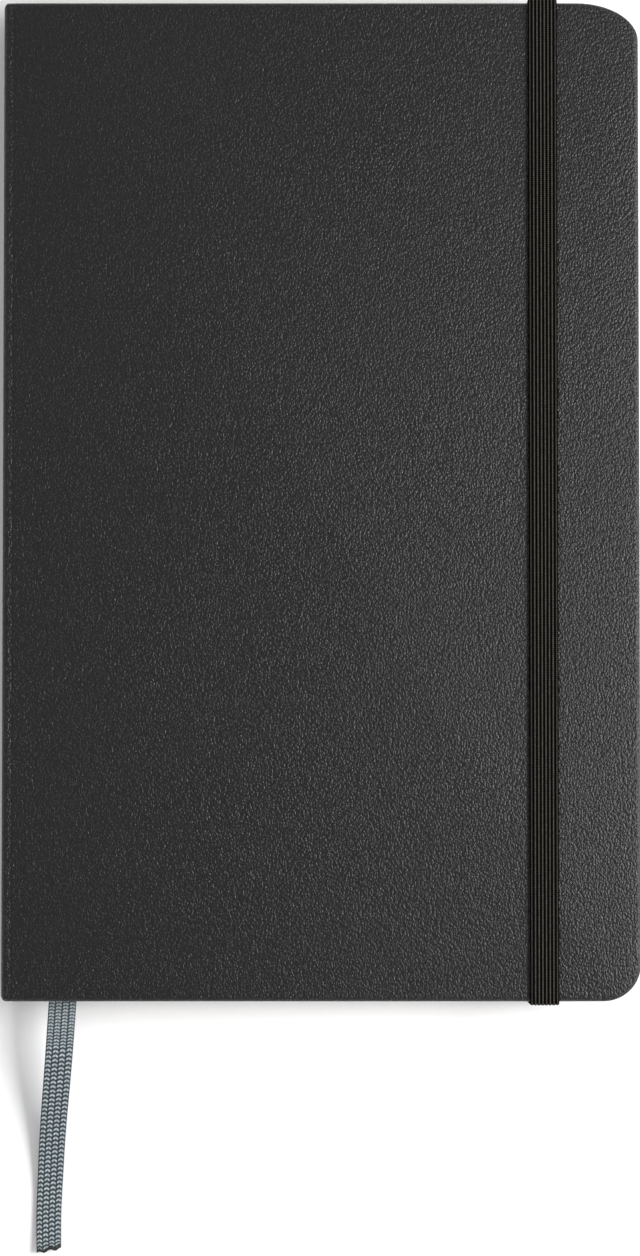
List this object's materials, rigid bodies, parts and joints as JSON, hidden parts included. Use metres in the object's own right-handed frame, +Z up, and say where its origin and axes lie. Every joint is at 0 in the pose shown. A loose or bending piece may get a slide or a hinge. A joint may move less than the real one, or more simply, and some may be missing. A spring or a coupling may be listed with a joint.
{
  "type": "sketchbook",
  "caption": "Hardcover sketchbook, case-bound with sewn sections, black pebbled covers with rounded fore-edge corners, elastic closure strap and woven ribbon marker.",
  "frame": {"origin": "on the table, under the middle of the closed covers", "axes": "+X from the spine to the fore-edge, +Y to the head, +Z up through the pages to the front cover"},
  "size_m": [0.1334, 0.2646, 0.0179],
  "materials": {
    "leatherette": "satin black pebbled",
    "greyboard": "matt",
    "endpaper": "matt",
    "drawing_paper": "matt, light tooth",
    "sewing_thread": "waxed linen",
    "gauze": "open weave",
    "kraft_paper": "matt",
    "striped_band": "woven stripes",
    "ribbon_braid": "silvery herringbone braid",
    "black_elastic": "knitted ribs"
  },
  "bodies": {
    "back_cover": {"back_board": "greyboard", "back_skin": "leatherette", "back_pastedown": "endpaper", "back_flyleaf": "endpaper", "section_5": "drawing_paper", "section_6": "drawing_paper", "section_7": "drawing_paper", "section_8": "drawing_paper", "ribbon_run": "ribbon_braid", "ribbon_tail": "ribbon_braid", "elastic_tabs": "black_elastic"},
    "spine": {"spine_board": "greyboard", "spine_skin": "leatherette", "spine_lining": "kraft_paper", "mull": "gauze", "sewing_thread": "sewing_thread", "head_band": "striped_band", "tail_band": "striped_band"},
    "front_cover": {"front_board": "greyboard", "front_skin": "leatherette", "front_pastedown": "endpaper", "front_flyleaf": "endpaper", "section_1": "drawing_paper", "section_2": "drawing_paper", "section_3": "drawing_paper", "section_4": "drawing_paper"},
    "elastic_ends": {"elastic_head_end": "black_elastic", "elastic_tail_end": "black_elastic"},
    "elastic_strap": {"elastic_strap": "black_elastic"}
  },
  "joints": [
    {"name": "back_joint", "type": "hinge", "parent": "back_cover", "child": "spine", "pos_m": [-0.0657, 0, 0.0012], "axis": [0, -1, 0], "range_deg": [0, 90]},
    {"name": "front_joint", "type": "hinge", "parent": "spine", "child": "front_cover", "pos_m": [-0.0657, 0, 0.0158], "axis": [0, -1, 0], "range_deg": [0, 90]},
    {"name": "elastic_swing", "type": "hinge", "parent": "back_cover", "child": "elastic_ends", "pos_m": [0.0587, 0, 0.0085], "axis": [0, 1, 0], "range_deg": [0, 287.6], "deforming": ["elastic_head_end", "elastic_tail_end"]},
    {"name": "elastic_roll", "type": "hinge", "parent": "elastic_ends", "child": "elastic_strap", "pos_m": [0.0465, 0, 0.01745], "axis": [0, 1, 0], "range_deg": [-107.6, 0], "deforming": ["elastic_strap"]}
  ],
  "couplings": [
    {"joint": "back_joint", "follows": "front_joint", "ratio": 1},
    {"joint": "elastic_swing", "follows": "front_joint", "ratio": 3.194},
    {"joint": "elastic_roll", "follows": "front_joint", "ratio": -1.194}
  ]
}
